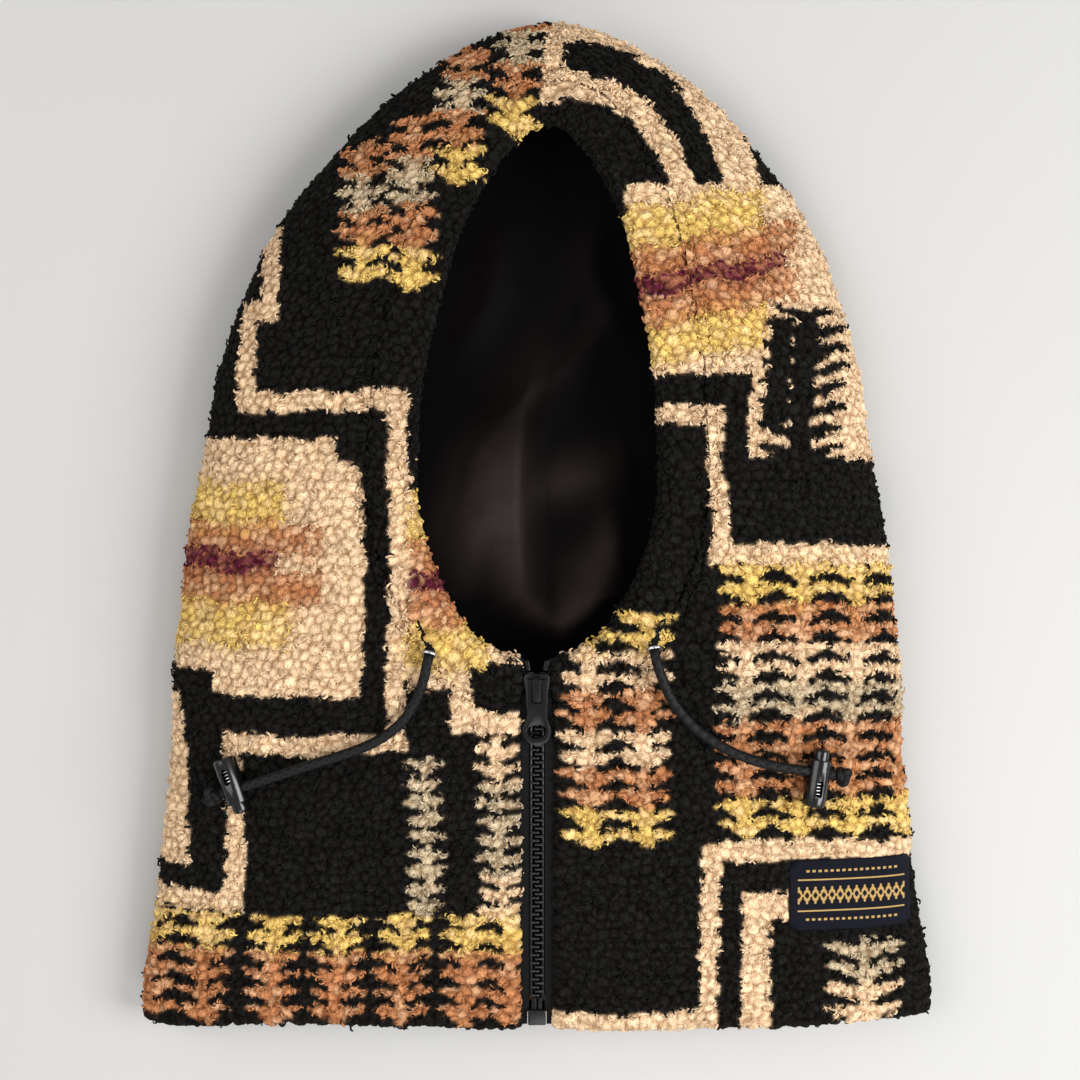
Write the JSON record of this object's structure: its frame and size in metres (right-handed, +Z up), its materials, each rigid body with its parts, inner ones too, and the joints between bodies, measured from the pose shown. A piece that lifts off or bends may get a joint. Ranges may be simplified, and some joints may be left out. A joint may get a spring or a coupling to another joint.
{
  "type": "zip-front hooded balaclava",
  "caption": "Hooded balaclava in curly pile fleece with a velour lining, a front zip, a teardrop face opening and a drawcord held by barrel cord locks.",
  "frame": {"origin": "on the surface the hood lies on, under the middle of its outline", "axes": "+X to the viewer's right with the face opening up, +Y from the hem to the crown, +Z up out of the front"},
  "size_m": [0.3398, 0.4276, 0.0561],
  "materials": {
    "curly_pile": "curly pile fleece in black, cream, yellow, rust and burgundy",
    "velour": "black short-pile velour with a soft sheen",
    "cord": "black braided elastic cord",
    "dark_metal": "dark plated metal",
    "zip_plastic": "black moulded plastic and lacquered metal, satin",
    "zip_tape": "black woven zip tape",
    "lock_plastic": "black glossy moulded plastic",
    "label_weave": "navy woven label with thin gold lines"
  },
  "bodies": {
    "hood": {"shell_left": "curly_pile", "shell_right": "curly_pile", "lining_left": "velour", "lining_right": "velour", "face_channel_left": "curly_pile", "face_channel_right": "curly_pile", "drawcord_in_channel": "cord", "drawcord_end_left": "cord", "drawcord_end_right": "cord", "cord_knot_left": "cord", "cord_knot_right": "cord", "eyelet_left": "dark_metal", "eyelet_right": "dark_metal", "zip_tape_left": "zip_tape", "zip_tape_right": "zip_tape", "zip_teeth_left": "zip_plastic", "zip_teeth_right": "zip_plastic", "zip_top_stop_left": "zip_plastic", "zip_top_stop_right": "zip_plastic", "zip_pin": "zip_plastic", "zip_box": "zip_plastic", "woven_label": "label_weave"},
    "slider": {"zip_slider": "zip_plastic"},
    "pull": {"zip_pull": "zip_plastic"},
    "lock_left": {"cord_lock_barrel_left": "lock_plastic", "cord_lock_spring_left": "dark_metal"},
    "plunger_left": {"cord_lock_plunger_left": "lock_plastic"},
    "lock_right": {"cord_lock_barrel_right": "lock_plastic", "cord_lock_spring_right": "dark_metal"},
    "plunger_right": {"cord_lock_plunger_right": "lock_plastic"}
  },
  "joints": [
    {"name": "zip_slide", "type": "slide", "parent": "hood", "child": "slider", "axis": [0, -0.996, -0.0896], "range_m": [0, 0.1295], "deforming": ["zip_teeth_left", "zip_teeth_right"]},
    {"name": "pull_hinge", "type": "hinge", "parent": "slider", "child": "pull", "pos_m": [0, -0.06792, 0.04886], "axis": [-1, 0, 0], "range_deg": [0, 165]},
    {"name": "lock_slide_left", "type": "slide", "parent": "hood", "child": "lock_left", "axis": [0.9323, 0.3218, 0.165], "range_m": [0, 0.018]},
    {"name": "plunger_press_left", "type": "slide", "parent": "lock_left", "child": "plunger_left", "axis": [-0.3262, 0.9453, 0], "range_m": [0, 0.0026], "stiffness_N_per_m": 300, "springref_m": -0.004, "deforming": ["cord_lock_spring_left"]},
    {"name": "lock_slide_right", "type": "slide", "parent": "hood", "child": "lock_right", "axis": [-0.9771, 0.1578, 0.1428], "range_m": [0, 0.01]},
    {"name": "plunger_press_right", "type": "slide", "parent": "lock_right", "child": "plunger_right", "axis": [-0.1595, -0.9872, 0], "range_m": [0, 0.0026], "stiffness_N_per_m": 300, "springref_m": -0.004, "deforming": ["cord_lock_spring_right"]}
  ]
}
